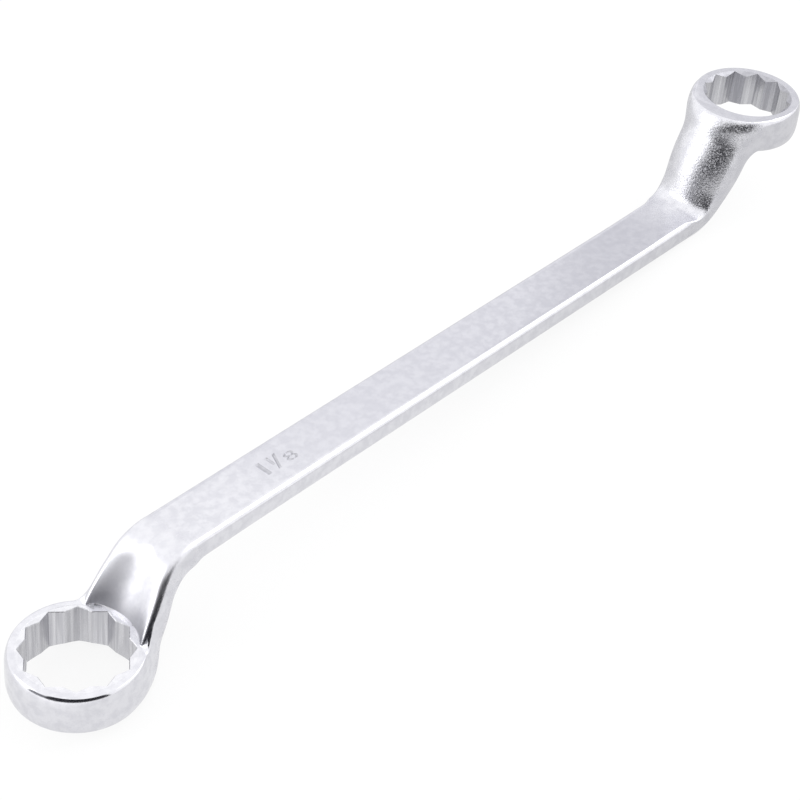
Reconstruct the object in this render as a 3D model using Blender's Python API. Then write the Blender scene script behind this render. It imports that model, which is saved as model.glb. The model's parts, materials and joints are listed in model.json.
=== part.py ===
"""Deep-cranked ring spanner, 1 1/8 by 1 1/16 inch: one forging with a 12-point ring at each end.

Metres, +Z up. The forging is worked out with its shank along X and its top face up, the near ring
below it at -X and the far ring above it at +X. It is then leaned and set down the way it lies on a table,
on the near ring's lower edge and on the underside of the far bend.

Both ends have one shape, the far one turned half a turn about the spanner's width. An end is described
by u, outwards along the shank from its middle, y, across it, and v, up on the near end and down on
the far one, so that each ring lies at negative v.
"""

import math
from typing import NamedTuple

import bmesh
import bpy
import numpy as np

# Nuts that the rings fit, across flats, and the play round them
NEAR_NUT = 0.028575
FAR_NUT = 0.0269875
NUT_PLAY = 0.00015
NUT_SIDES = 6

# Rings
NEAR_RING_HEIGHT = 0.01375
FAR_RING_HEIGHT = 0.0128
RING_WALL = 0.0036
RING_EDGE_WIDTH = 0.0014
RING_EDGE_HEIGHT = 0.0045
NEAR_POINT_TURN = math.radians(47.1)
FAR_POINT_TURN = math.radians(50.5)

# Shank
SHANK_WIDTH = 0.0195
SHANK_THICKNESS = 0.0075
SHANK_EDGE_RADIUS = 0.0015

# Bends and necks
NEAR_DROP = 0.0257
FAR_DROP = 0.03035
BEND_START = 0.1226
BEND_RADIUS = 0.0097
BEND_ANGLE = math.radians(61.9)
NECK_WIDTH = 0.0263
NECK_OUTER = 0.0055
NECK_INNER = 0.0088
NECK_EDGE_RADIUS = 0.00245
NECK_BITE = 0.00495
SWELL_BEFORE_BEND = 0.0047
SWELL_AFTER_BEND = 0.0279
CROWN_RADIUS = 0.015
CROWN_FILLET = 0.002
CROWN_BEFORE_BEND = 0.002
CROWN_AFTER_BEND = 0.016

# Fillet between neck and ring, how far from the hollow it is whole, how it shrinks towards the faced side
NECK_FILLET = 0.0082
FILLET_START = 0.00005
FILLET_BY_HOLLOW = 0.0018
FILLET_TOP_LOSS_SHARE = 0.5
FILLET_TOP_SPAN = 0.01

# Machined faces of each ring, and the hollow that the socket's way leaves in the neck
FACE_MARGIN = 0.0006
FACE_DEPTH = 0.00015
FOOT_DEPTH = 0.00005
HOLLOW_SETBACK = 0.00025
HOLLOW_START = 0.0028
HOLLOW_EDGE = 0.0016
HOLLOW_EDGE_RUN = 0.012

# Tapered mouth of each bore, on the face away from the shank
MOUTH_MARGIN = 0.0001
MOUTH_ANGLE = math.radians(35)
MOUTH_DEPTH = 0.0016

# Cutters run this far past what they cut
CUT_OVERRUN = 0.002

# Sections of the skin: how many on each stretch, and points round each half of one
SHANK_SECTIONS = 2
SWELL_SECTIONS = 3
BEND_SECTIONS = 7
NECK_SECTIONS = 6
FAN_SECTIONS = 7
RING_SECTIONS = 10
HALF_LOOP_POINTS = 23
SURVEY_RAYS = 240
SEARCH_STEPS = 60
HALVINGS = 30
TIP_ANGLE = math.radians(5)
CORNER_PULL = 0.003
RAY_ROOT_DEPTH = 0.0052
PIVOT_CLEARANCE = 0.002
PIVOT_RISE = 0.003
ROUND_CUTTER_SIDES = 72
SMOOTH_ANGLE = math.radians(32)
FLAT_ANGLE = math.radians(0.5)
SMALLEST = 0.000001


class End(NamedTuple):
    """One end of the spanner: its ring, and where its neck meets it."""

    name: str
    side: int
    nut: float
    drop: float
    height: float
    point_turn: float

    @property
    def tip_radius(self):
        """From the bore's axis to the tip of a point."""
        return (self.nut + NUT_PLAY) / 2 / math.cos(math.pi / NUT_SIDES)

    @property
    def radius(self):
        return self.tip_radius + RING_WALL

    @property
    def face_radius(self):
        return self.tip_radius + FACE_MARGIN

    @property
    def top(self):
        """Level of the ring's face on the shank's side."""
        return self.height / 2 - self.drop

    @property
    def foot(self):
        """Level of the ring's face away from the shank."""
        return -self.height / 2 - self.drop

    @property
    def centre(self):
        """The ring's axis, outwards from the shank's middle."""
        run = (self.drop + BEND_EXIT_V) / math.tan(BEND_ANGLE)
        return BEND_EXIT_U + run + self.radius - NECK_BITE

    def place(self, u, y, v):
        """The point of the spanner's own frame for a point of this end."""
        return np.stack(np.broadcast_arrays(self.side * u, y, -self.side * v), axis=-1)


# Where the bend's arc ends and the straight neck begins
BEND_EXIT_U = BEND_START + BEND_RADIUS * math.sin(BEND_ANGLE)
BEND_EXIT_V = BEND_RADIUS * math.cos(BEND_ANGLE) - BEND_RADIUS

NEAR = End("near", -1, NEAR_NUT, NEAR_DROP, NEAR_RING_HEIGHT, NEAR_POINT_TURN)
FAR = End("far", 1, FAR_NUT, FAR_DROP, FAR_RING_HEIGHT, FAR_POINT_TURN)


def ramp(x):
    """An S curve from 0 to 1, level at both ends."""
    x = np.clip(x, 0, 1)
    return x * x * (3 - 2 * x)


def soft_min(a, b, reach):
    """The smaller distance, blended into a fillet where the two differ by less than reach."""
    share = np.clip(0.5 + (b - a) / reach / 2, 0, 1)
    return b + (a - b) * share - reach * share * (1 - share)


def soft_max(a, b, reach):
    """The larger distance, blended the same way, which rounds an edge off."""
    return -soft_min(-a, -b, reach)


def swelling(way):
    """How far the section has grown from the shank's, 0, to the neck's, 1."""
    return ramp((way + SWELL_BEFORE_BEND) / (SWELL_BEFORE_BEND + SWELL_AFTER_BEND))


def bar_coordinates(u, v):
    """Height above the bar's middle line, and way along that line from the start of the bend.

    Off the middle line the way runs on at the same rate round the bend, so that it has no kink there.
    """
    sine, cosine = math.sin(BEND_ANGLE), math.cos(BEND_ANGLE)
    down_neck = (u - BEND_EXIT_U) * cosine - (v - BEND_EXIT_V) * sine
    above_neck = (u - BEND_EXIT_U) * sine + (v - BEND_EXIT_V) * cosine
    turned = np.arctan2(u - BEND_START, v + BEND_RADIUS)
    from_axis = np.hypot(u - BEND_START, v + BEND_RADIUS)
    height = np.where(down_neck >= 0, above_neck, from_axis - BEND_RADIUS)
    onward = np.where(down_neck >= 0, down_neck, (turned - BEND_ANGLE) * from_axis)
    way = np.where(u <= BEND_START, u - BEND_START - BEND_ANGLE * v, BEND_RADIUS * BEND_ANGLE + onward)
    return np.where(u <= BEND_START, v, height), way


def outer_depth(way):
    """From the bar's middle line to its outer side."""
    return SHANK_THICKNESS / 2 + (NECK_OUTER - SHANK_THICKNESS / 2) * swelling(way)


def bar_distance(u, y, v):
    """Shank, bend and neck: a rounded rectangle that swells, and grows round on its inner side."""
    height, way = bar_coordinates(u, v)
    grown = swelling(way)
    half_width = (SHANK_WIDTH + (NECK_WIDTH - SHANK_WIDTH) * grown) / 2
    inner = SHANK_THICKNESS / 2 + (NECK_INNER - SHANK_THICKNESS / 2) * grown
    edge = SHANK_EDGE_RADIUS + (NECK_EDGE_RADIUS - SHANK_EDGE_RADIUS) * grown
    crowned = ramp((way + CROWN_BEFORE_BEND) / (CROWN_BEFORE_BEND + CROWN_AFTER_BEND))
    crowned = np.maximum(crowned, SMALLEST)
    blend = CROWN_FILLET * crowned
    over_width = np.abs(y) - half_width + edge
    over_thickness = np.where(height > 0, height - outer_depth(way), -height - inner - blend) + edge
    past_corner = np.hypot(np.maximum(over_width, 0), np.maximum(over_thickness, 0))
    section = past_corner + np.minimum(np.maximum(over_width, over_thickness), 0) - edge
    radius = CROWN_RADIUS / crowned
    return soft_max(section, np.hypot(y, height + inner - radius) - radius, blend)


def inside_hollow(u, y, v, end):
    """Depth inside the round hollow up the neck's outer side, and the width of its rounded edge.

    The hollow runs along the neck, from nothing at its start to the bore's edge at the ring's face.
    """
    height, way = bar_coordinates(u, v)
    lip_height, lip_way = bar_coordinates(end.centre - end.face_radius + HOLLOW_SETBACK, end.top)
    taper = (outer_depth(lip_way) - lip_height) / (lip_way - HOLLOW_START)
    radius = end.face_radius / (math.sin(BEND_ANGLE) + taper * math.cos(BEND_ANGLE))
    floor = outer_depth(way) - taper * (way - HOLLOW_START)
    edge = HOLLOW_EDGE * ramp((way - HOLLOW_START) / HOLLOW_EDGE_RUN)
    return radius - np.hypot(height - floor - radius, y), edge + SMALLEST


def edged(past_wall, past_face):
    """Distance outside a wall and a face that meet in a ring's edge, which is a quarter ellipse."""
    into_width = past_wall / RING_EDGE_WIDTH + 1
    into_height = past_face / RING_EDGE_HEIGHT + 1
    measure = np.hypot(into_width, into_height)
    growth = np.hypot(into_width / RING_EDGE_WIDTH, into_height / RING_EDGE_HEIGHT)
    edge = (measure - 1) * measure / np.maximum(growth, SMALLEST)
    return np.where((into_width > 0) & (into_height > 0), edge, np.maximum(past_wall, past_face))


def skin_distance(u, y, v, end):
    """How far outside the forging's skin a point lies: negative inside, zero on the skin."""
    hollow, hollow_edge = inside_hollow(u, y, v, end)
    bar = soft_max(bar_distance(u, y, v), hollow, hollow_edge)
    from_axis = np.hypot(u - end.centre, y)
    ring = edged(from_axis - end.radius, v - end.top)
    kept = ramp((from_axis - end.face_radius) / (end.radius - end.face_radius))
    kept = kept * ramp(-hollow / FILLET_BY_HOLLOW)
    kept = kept * (1 - FILLET_TOP_LOSS_SHARE * ramp((v - end.top) / FILLET_TOP_SPAN + 1))
    fillet = FILLET_START + (NECK_FILLET - FILLET_START) * kept
    return edged(soft_min(bar, ring, fillet), end.foot - v)


def section_planes(end):
    """Root point and upward direction, in u and v, of each section, from the shank's middle outwards.

    The planes stand square to the shank, fan round the bend, stand square to the neck, fan back
    about a line just outside the neck's foot, and stand upright through the ring.
    """
    sine, cosine = math.sin(BEND_ANGLE), math.cos(BEND_ANGLE)
    swell_start = BEND_START - SWELL_BEFORE_BEND
    shank = np.linspace(0, swell_start, SHANK_SECTIONS, endpoint=False)
    swell = np.linspace(swell_start, BEND_START, SWELL_SECTIONS, endpoint=False)
    straight = np.concatenate([shank, swell])
    bend = np.linspace(0, BEND_ANGLE, BEND_SECTIONS, endpoint=False)

    pivot_height = NECK_OUTER + PIVOT_CLEARANCE
    pivot_v = end.top + PIVOT_RISE
    pivot_u = BEND_EXIT_U + (pivot_height - (pivot_v - BEND_EXIT_V) * cosine) / sine
    pivot_way = (pivot_u - BEND_EXIT_U) * cosine - (pivot_v - BEND_EXIT_V) * sine
    neck = np.linspace(0, pivot_way, NECK_SECTIONS, endpoint=False)
    fan = np.linspace(BEND_ANGLE, 0, FAN_SECTIONS, endpoint=False)
    start = math.asin((pivot_u - end.centre) / end.radius)
    ring = end.centre + end.radius * np.sin(np.linspace(start, math.pi / 2 - TIP_ANGLE, RING_SECTIONS))

    lean = np.concatenate([0 * straight, bend, 0 * neck + BEND_ANGLE, fan, 0 * ring])
    up = np.stack([np.sin(lean), np.cos(lean)], axis=-1)
    bend_u, bend_v = BEND_START + BEND_RADIUS * np.sin(bend), BEND_RADIUS * np.cos(bend) - BEND_RADIUS
    middle_u = np.concatenate([straight, bend_u, BEND_EXIT_U + neck * cosine])
    middle_v = np.concatenate([0 * straight, bend_v, BEND_EXIT_V - neck * sine])
    way = np.concatenate([straight - BEND_START, BEND_RADIUS * bend, BEND_RADIUS * BEND_ANGLE + neck])
    sink = RAY_ROOT_DEPTH * swelling(way)
    bar_roots = np.stack([middle_u, middle_v], axis=-1) - sink[:, None] * up[: len(way)]

    below_pivot = np.linspace(pivot_height + sink[-1], pivot_v + end.drop, FAN_SECTIONS, endpoint=False)
    fan_up = up[len(way) : len(way) + FAN_SECTIONS]
    fan_roots = np.array([pivot_u, pivot_v]) - below_pivot[:, None] * fan_up
    ring_roots = np.stack([ring, 0 * ring - end.drop], axis=-1)
    return np.concatenate([bar_roots, fan_roots, ring_roots]), up


def cast(end, roots, ups, angles):
    """Distance from each section's root to the skin, along rays at the given angles above the width."""

    def outside(reach):
        along = reach * np.sin(angles)
        u = roots[:, 0, None] + along * ups[:, 0, None]
        v = roots[:, 1, None] + along * ups[:, 1, None]
        return skin_distance(u, reach * np.cos(angles), v, end) > 0

    step = 2 * end.radius / SEARCH_STEPS
    low = np.zeros(angles.shape)
    found = np.zeros(angles.shape, bool)
    for count in range(1, SEARCH_STEPS + 1):
        found |= outside(np.full(angles.shape, count * step))
        low = np.where(found, low, count * step)
    high = low + step
    for _ in range(HALVINGS):
        middle = (low + high) / 2
        beyond = outside(middle)
        low, high = np.where(beyond, low, middle), np.where(beyond, middle, high)
    return (low + high) / 2


def even_angles(reach, angles):
    """Ray angles that share each section's outline out evenly by its length and by how much it turns."""
    across, along = reach * np.cos(angles), reach * np.sin(angles)
    edge = np.stack([np.diff(across, axis=1), np.diff(along, axis=1)], axis=-1)
    length = np.hypot(edge[..., 0], edge[..., 1])
    heading = np.unwrap(np.arctan2(edge[..., 1], edge[..., 0]), axis=1)
    turn = np.abs(np.diff(heading, axis=1)) / 2
    turned = np.pad(turn, ((0, 0), (0, 1))) + np.pad(turn, ((0, 0), (1, 0)))
    measure = np.cumsum(length + CORNER_PULL * turned, axis=1)
    measure = np.pad(measure, ((0, 0), (1, 0)))
    shares = np.linspace(0, 1, HALF_LOOP_POINTS)
    return np.stack([np.interp(shares * row[-1], row, angle) for row, angle in zip(measure, angles)])


def end_loops(end):
    """The end's skin as closed loops of points, one to a section, in the spanner's own frame."""
    roots, ups = section_planes(end)
    survey = np.linspace(-math.pi / 2, math.pi / 2, SURVEY_RAYS)
    survey = np.broadcast_to(survey, (len(roots), SURVEY_RAYS))
    angles = even_angles(cast(end, roots, ups, survey), survey)
    reach = cast(end, roots, ups, angles)
    u = roots[:, 0, None] + reach * np.sin(angles) * ups[:, 0, None]
    v = roots[:, 1, None] + reach * np.sin(angles) * ups[:, 1, None]
    y = reach * np.cos(angles)
    y[:, [0, -1]] = 0
    right = end.place(u, y, v)[:, :: -end.side]
    left = right[:, -2:0:-1] * np.array([1, -1, 1])
    return np.concatenate([right, left], axis=1)


def skin():
    """Points and faces of the whole forging: loops from the near tip to the far one, closed by two fans."""
    loops = np.concatenate([end_loops(NEAR)[::-1], end_loops(FAR)[1:]])
    rows, round_count = loops.shape[:2]
    tips = [end.place(end.centre + end.radius, 0.0, -end.drop) for end in (NEAR, FAR)]
    points = np.concatenate([loops.reshape(-1, 3), tips])
    index = np.arange(rows * round_count).reshape(rows, round_count)
    ahead = np.roll(index, -1, axis=1)
    quads = np.stack([index[:-1], ahead[:-1], ahead[1:], index[1:]], axis=-1).reshape(-1, 4)
    near_tip, far_tip = len(points) - 2, len(points) - 1
    near_fan = [(near_tip, b, a) for a, b in zip(index[0].tolist(), ahead[0].tolist())]
    far_fan = [(far_tip, a, b) for a, b in zip(index[-1].tolist(), ahead[-1].tolist())]
    return points, quads.tolist() + near_fan + far_fan


def resting_lean(points):
    """Angle of the line that touches the underside once on each side of the spanner's middle."""
    under = points[np.abs(points[:, 1]) < SHANK_EDGE_RADIUS]
    near, far = under[under[:, 0] < 0], under[under[:, 0] > 0]
    run = far[None, :, 0] - near[:, None, 0]
    crossing = (near[:, None, 2] * far[None, :, 0] - far[None, :, 2] * near[:, None, 0]) / run
    lowest_near, lowest_far = np.unravel_index(np.argmin(crossing), crossing.shape)
    rise = far[lowest_far, 2] - near[lowest_near, 2]
    return math.atan2(rise, run[lowest_near, lowest_far])


def steel():
    """Drop-forged chrome-vanadium steel with a satin chrome finish."""
    material = bpy.data.materials.new("satin_chromed_steel")
    material.use_nodes = True
    shader = material.node_tree.nodes["Principled BSDF"]
    shader.inputs["Base Color"].default_value = (0.62, 0.62, 0.64, 1)
    shader.inputs["Metallic"].default_value = 1
    shader.inputs["Roughness"].default_value = 0.34
    return material


def new_object(name, mesh, collection, parent):
    made = bpy.data.objects.new(name, mesh)
    collection.objects.link(made)
    made.parent = parent
    return made


def cutter(name, sides, radii, levels, turn, end, collection, parent):
    """A closed cutter on a ring's axis, round or many-sided, from one level and radius to another."""
    (low, high), (low_radius, high_radius) = levels, radii[:: -end.side]
    shape = bmesh.new()
    bmesh.ops.create_cone(
        shape, cap_ends=True, segments=sides, radius1=low_radius, radius2=high_radius, depth=high - low
    )
    mesh = bpy.data.meshes.new(name)
    shape.to_mesh(mesh)
    shape.free()
    made = new_object(name, mesh, collection, parent)
    made.location = end.place(end.centre, 0.0, (low + high) / 2)
    made.rotation_euler.z = turn
    made.hide_render = True
    made.display_type = "WIRE"
    return made


def ring_cutters(end, collection, parent):
    """The two facing cuts, the two nut-shaped cuts that make the 12-point bore, and its tapered mouth."""
    levels = (end.foot - CUT_OVERRUN, end.foot + FOOT_DEPTH)
    radii = (end.radius + CUT_OVERRUN, end.radius + CUT_OVERRUN)
    name = f"{end.name}_foot_cut"
    yield cutter(name, ROUND_CUTTER_SIDES, radii, levels, 0, end, collection, parent)
    levels = (end.foot - CUT_OVERRUN, end.top + CUT_OVERRUN)
    radii = (end.tip_radius, end.tip_radius)
    for number in (1, 2):
        turn = end.point_turn - math.pi / 2 + number * math.pi / NUT_SIDES
        name = f"{end.name}_bore_cut_{number}"
        yield cutter(name, NUT_SIDES, radii, levels, turn, end, collection, parent)
    slope = math.tan(MOUTH_ANGLE)
    mouth = end.tip_radius + MOUTH_MARGIN
    levels = (end.foot - CUT_OVERRUN, end.foot + MOUTH_DEPTH)
    radii = (mouth + CUT_OVERRUN / slope, mouth - MOUTH_DEPTH / slope)
    name = f"{end.name}_mouth_cut"
    yield cutter(name, ROUND_CUTTER_SIDES, radii, levels, 0, end, collection, parent)
    levels = (end.top - FACE_DEPTH, SHANK_THICKNESS / 2 + CUT_OVERRUN)
    radii = (end.face_radius, end.face_radius)
    name = f"{end.name}_face_cut"
    yield cutter(name, ROUND_CUTTER_SIDES, radii, levels, 0, end, collection, parent)


def spanner_body(collection, cutters, stand):
    """The whole forging, bored and faced."""
    points, faces = skin()
    mesh = bpy.data.meshes.new("spanner_body")
    mesh.from_pydata(points.tolist(), [], faces)
    mesh.shade_smooth()
    body = new_object("spanner_body", mesh, collection, stand)
    body.data.materials.append(steel())
    for end in (NEAR, FAR):
        for tool in ring_cutters(end, cutters, stand):
            cut = body.modifiers.new(tool.name, "BOOLEAN")
            cut.operation = "DIFFERENCE"
            cut.object = tool
    flats = body.modifiers.new("merge_flat_faces", "DECIMATE")
    flats.decimate_type = "DISSOLVE"
    flats.angle_limit = FLAT_ANGLE
    return body, points


def set_down(stand, points):
    """Leans the spanner onto its two resting places, with the origin under the middle of its box."""
    faced = points.copy()
    faced[:, 2] = np.clip(points[:, 2], NEAR.foot + FOOT_DEPTH, -FAR.foot - FOOT_DEPTH)
    lean = resting_lean(faced)
    turned_x = faced[:, 0] * math.cos(lean) + faced[:, 2] * math.sin(lean)
    turned_z = faced[:, 2] * math.cos(lean) - faced[:, 0] * math.sin(lean)
    stand.rotation_euler.y = lean
    stand.location.x = -(turned_x.min() + turned_x.max()) / 2
    stand.location.z = -turned_z.min()


def main():
    for old in list(bpy.data.objects):
        bpy.data.objects.remove(old)
    spanner = bpy.data.collections.new("ring_spanner")
    cutters = bpy.data.collections.new("cutters")
    for collection in (spanner, cutters):
        bpy.context.scene.collection.children.link(collection)
    cutters.hide_render = True
    stand = new_object("resting_lean", None, spanner, None)
    body, points = spanner_body(spanner, cutters, stand)
    body.data.set_sharp_from_angle(angle=SMOOTH_ANGLE)
    set_down(stand, points)


if __name__ == "__main__":
    main()
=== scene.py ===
"""Deep-cranked ring spanner, 1 1/8 by 1 1/16 inch, as a finished forging in a pale studio.

The spanner is one drop forging of chrome-vanadium steel, satin chromed all over: a flat shank, two bends,
two hollowed necks and two 12-point rings. Its skin is the zero surface of a distance formula, cut by planes
into closed loops. The ring faces, the bores and the size numbers are then cut out of it.

Metres throughout. The forging is worked out in its own frame, with the shank along X and its top face up.
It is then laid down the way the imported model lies.
"""

import json
import logging
from dataclasses import dataclass
from enum import Enum
from math import asin, atan2, cos, degrees, pi, radians, sin, tan

import bmesh
import bpy
import numpy as np
from bpy.types import ID, Material, Mesh, NodeSocket, NodeTree, Object, World, bpy_prop_collection
from mathutils import Euler, Matrix, Vector
from numpy import ndarray as Array


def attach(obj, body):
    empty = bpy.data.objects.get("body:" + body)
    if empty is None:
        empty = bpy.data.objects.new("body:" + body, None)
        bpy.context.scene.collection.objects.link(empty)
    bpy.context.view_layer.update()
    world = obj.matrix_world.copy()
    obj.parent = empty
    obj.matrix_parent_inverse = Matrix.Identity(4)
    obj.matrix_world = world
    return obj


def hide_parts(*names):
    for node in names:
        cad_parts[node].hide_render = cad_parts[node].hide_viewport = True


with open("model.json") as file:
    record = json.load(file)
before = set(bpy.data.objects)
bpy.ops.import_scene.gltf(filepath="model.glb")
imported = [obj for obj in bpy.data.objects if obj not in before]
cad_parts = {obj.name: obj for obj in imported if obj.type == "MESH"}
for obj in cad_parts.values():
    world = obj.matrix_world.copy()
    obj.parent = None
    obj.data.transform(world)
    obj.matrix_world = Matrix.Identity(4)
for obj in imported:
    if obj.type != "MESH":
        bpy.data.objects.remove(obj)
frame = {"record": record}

log = logging.getLogger("ring_spanner")

MILLIMETRE = 0.001
WELD = 0.000001
ROUGH_MAP = "left_rough"
PEBBLE_MAP = "left_pebbled"
TONE_MAP = "facet_tone"
SMOOTH = "SMOOTHSTEP"
SMALLEST = 0.000001

# A bore's facets are told apart by the way they face, in these steps, and get their tones by this beat
FACET_TURN = radians(15)
FACET_BEAT = 2.3


def colour(code: str) -> tuple[float, float, float, float]:
    """Turns an sRGB hex colour into linear light.

    Args:
        code: six hex digits after a hash sign.

    Returns:
        Red, green, blue and an alpha of 1.
    """
    shares = np.array([int(code[start : start + 2], 16) for start in (1, 3, 5)]) / 255
    linear = np.where(shares <= 0.04045, shares / 12.92, ((shares + 0.055) / 1.055) ** 2.4)
    return (*linear.tolist(), 1.0)


def add_node(tree: NodeTree, kind: str, inputs: dict | None = None, **settings: str) -> bpy_prop_collection:
    """Adds one shader node with its settings and its input values or links.

    Args:
        tree: the node tree that takes it.
        kind: Blender's type of node, without the leading ShaderNode.
        inputs: its sockets, by name or number, each with a value or with the output that feeds it.
        settings: the node's own properties.

    Returns:
        The node's outputs.
    """
    node = tree.nodes.new("ShaderNode" + kind)
    for name, value in settings.items():
        setattr(node, name, value)
    for name, value in (inputs or {}).items():
        if isinstance(value, NodeSocket):
            tree.links.new(value, node.inputs[name])
        else:
            node.inputs[name].default_value = value
    return node.outputs


def between(value: NodeSocket, band: tuple, ends: tuple = (0, 1)) -> dict:
    """The inputs that stretch a band of a value to new ends."""
    return {"Value": value, "From Min": band[0], "From Max": band[1], "To Min": ends[0], "To Max": ends[1]}


def empty_tree(owner: Material | World) -> NodeTree:
    """Gives a material or a world a node tree with nothing in it.

    Args:
        owner: the material or the world.

    Returns:
        Its node tree.
    """
    owner.use_nodes = True
    owner.node_tree.nodes.clear()
    return owner.node_tree


def add_object(name: str, data: ID) -> Object:
    """Adds an object to the scene.

    Args:
        name: its name.
        data: its mesh, lamp or camera.

    Returns:
        The object.
    """
    thing = bpy.data.objects.new(name, data)
    bpy.context.scene.collection.objects.link(thing)
    return thing


def numbered(grid: Array, closed: bool = True) -> Array:
    """Numbers a grid's points row by row, with the first column again at the end where rows are closed."""
    index = np.arange(grid.shape[0] * grid.shape[1]).reshape(grid.shape[:2])
    return np.pad(index, ((0, 0), (0, int(closed))), mode="wrap")


def grid_faces(index: Array) -> list[list[int]]:
    """Joins a grid of numbered points by faces with four corners."""
    corners = [index[:-1, :-1], index[:-1, 1:], index[1:, 1:], index[1:, :-1]]
    return np.stack(corners, axis=-1).reshape(-1, 4).tolist()


def read_all(items: bpy_prop_collection, name: str, kind: type, width: int = 1) -> Array:
    """Reads a property of all vertices, corners or faces of a mesh.

    Args:
        items: the vertices, corners or faces.
        name: the property.
        kind: its type of number.
        width: how many numbers each item has.

    Returns:
        The numbers, in rows where an item has more than one.
    """
    values = np.empty(width * len(items), kind)
    items.foreach_get(name, values)
    return values.reshape(-1, width).squeeze()


def ramp(x: Array) -> Array:
    """An S curve from 0 to 1, level at both ends: x squared times (3 - 2x)."""
    x = np.clip(x, 0, 1)
    return x * x * (3 - 2 * x)


def soft_min(a: Array, b: Array, reach: Array | float) -> Array:
    """The smaller of two distances, less a parabola's height where they differ by less than reach."""
    share = np.clip(0.5 + (b - a) / reach / 2, 0, 1)
    return b + (a - b) * share - reach * share * (1 - share)


def soft_max(a: Array, b: Array, reach: Array | float) -> Array:
    """The larger of two distances, blended the same way, which rounds an edge off."""
    return -soft_min(-a, -b, reach)


class Finish(Enum):
    """The finishes that the forging's faces have."""

    FORGED = 0
    TURNED = 1
    COUNTERSUNK = 2
    BROACHED = 3
    STAMPED = 4


@dataclass(frozen=True)
class Lie:
    """How the spanner lies: its lean about +Y, and where its own origin is."""

    lean: float
    origin: tuple[float, float, float]

    @property
    def turn(self) -> Array:
        """The 3 by 3 matrix that leans a point of the spanner's own frame."""
        return np.array(Matrix.Rotation(self.lean, 3, "Y"))

    def own_points(self, mesh: Mesh) -> Array:
        """Brings a laid down mesh's points back into the spanner's own frame."""
        points = read_all(mesh.vertices, "co", np.float32, 3).astype(float)
        return (points - np.array(self.origin)) @ self.turn

    @classmethod
    def of_packed(cls, record: dict, half_thickness: float) -> "Lie":
        """Reads the lie off the flat on top of the shank.

        Args:
            record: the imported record.
            half_thickness: from the shank's middle plane to that flat.

        Returns:
            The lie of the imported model.
        """
        flat = next(mount for mount in record["mounts"] if mount["name"] == "shank_top")
        up = Vector(flat["axis"]).normalized()
        middle = Vector(flat["pos_m"]) - half_thickness * up
        return cls(atan2(up.x, up.z), tuple(middle))


@dataclass(frozen=True)
class Bar:
    """The shank, and the bends and necks that it runs into at both ends."""

    width: float = 0.0195
    thickness: float = 0.0075
    edge_radius: float = 0.0022
    bend_start: float = 0.1226
    bend_radius: float = 0.0097
    bend_angle: float = radians(61.9)
    neck_width: float = 0.0263
    neck_outer: float = 0.0055
    neck_inner: float = 0.0088
    neck_edge_radius: float = 0.00245
    neck_bite: float = 0.00495
    swell_before_bend: float = 0.0047
    swell_after_bend: float = 0.0279
    crown_radius: float = 0.015
    crown_fillet: float = 0.002
    crown_before_bend: float = 0.002
    crown_after_bend: float = 0.016

    @property
    def bend_length(self) -> float:
        """Length of the bend's arc."""
        return self.bend_radius * self.bend_angle

    @property
    def exit_u(self) -> float:
        """Where the bend's arc ends, along the shank."""
        return self.bend_start + self.bend_radius * sin(self.bend_angle)

    @property
    def exit_v(self) -> float:
        """Level at which the bend's arc ends."""
        return self.bend_radius * (cos(self.bend_angle) - 1)

    def swelling(self, way: Array) -> Array:
        """How far the section has grown from the shank's, 0, to the neck's, 1."""
        return ramp((way + self.swell_before_bend) / (self.swell_before_bend + self.swell_after_bend))

    def outer(self, way: Array) -> Array:
        """From the middle line to the outer side."""
        return self.thickness / 2 + (self.neck_outer - self.thickness / 2) * self.swelling(way)

    def along(self, u: Array, v: Array) -> tuple[Array, Array]:
        """Follows the bar's middle line: straight, then an arc, then straight down the neck.

        Off the middle line the way runs on at the same rate round the bend, so that it has no kink there.

        Args:
            u: outwards along the shank.
            v: up, on the side that the ring lies below.

        Returns:
            Height above the middle line, and way along it from the start of the bend.
        """
        sine, cosine = sin(self.bend_angle), cos(self.bend_angle)
        down_neck = (u - self.exit_u) * cosine - (v - self.exit_v) * sine
        above_neck = (u - self.exit_u) * sine + (v - self.exit_v) * cosine
        turned = np.arctan2(u - self.bend_start, v + self.bend_radius)
        from_axis = np.hypot(u - self.bend_start, v + self.bend_radius)
        height = np.where(down_neck >= 0, above_neck, from_axis - self.bend_radius)
        onward = np.where(down_neck >= 0, down_neck, (turned - self.bend_angle) * from_axis)
        before = u - self.bend_start - self.bend_angle * v
        straight = u <= self.bend_start
        return np.where(straight, v, height), np.where(straight, before, self.bend_length + onward)

    def distance(self, u: Array, y: Array, v: Array) -> Array:
        """How far outside the bar a point lies.

        The section is a rectangle with round corners: the distance past a rectangle that is smaller all
        round by the corner's radius, less that radius. Its sizes swell along the middle line. On the
        neck's inner side a large round takes over from the flat, and it grows from flat along the way.

        Args:
            u, y, v: outwards along the shank, across it, and up.

        Returns:
            The distance, negative inside.
        """
        height, way = self.along(u, v)
        grown = self.swelling(way)
        half_width = (self.width + (self.neck_width - self.width) * grown) / 2
        inner = self.thickness / 2 + (self.neck_inner - self.thickness / 2) * grown
        edge = self.edge_radius + (self.neck_edge_radius - self.edge_radius) * grown
        crowned = ramp((way + self.crown_before_bend) / (self.crown_before_bend + self.crown_after_bend))
        crowned = np.maximum(crowned, SMALLEST)
        blend = self.crown_fillet * crowned
        over_width = np.abs(y) - half_width + edge
        over_thickness = np.where(height > 0, height - self.outer(way), -height - inner - blend)
        over_thickness = over_thickness + edge
        past_corner = np.hypot(np.maximum(over_width, 0), np.maximum(over_thickness, 0))
        section = past_corner + np.minimum(np.maximum(over_width, over_thickness), 0) - edge
        radius = self.crown_radius / crowned
        return soft_max(section, np.hypot(y, height + inner - radius) - radius, blend)


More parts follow.
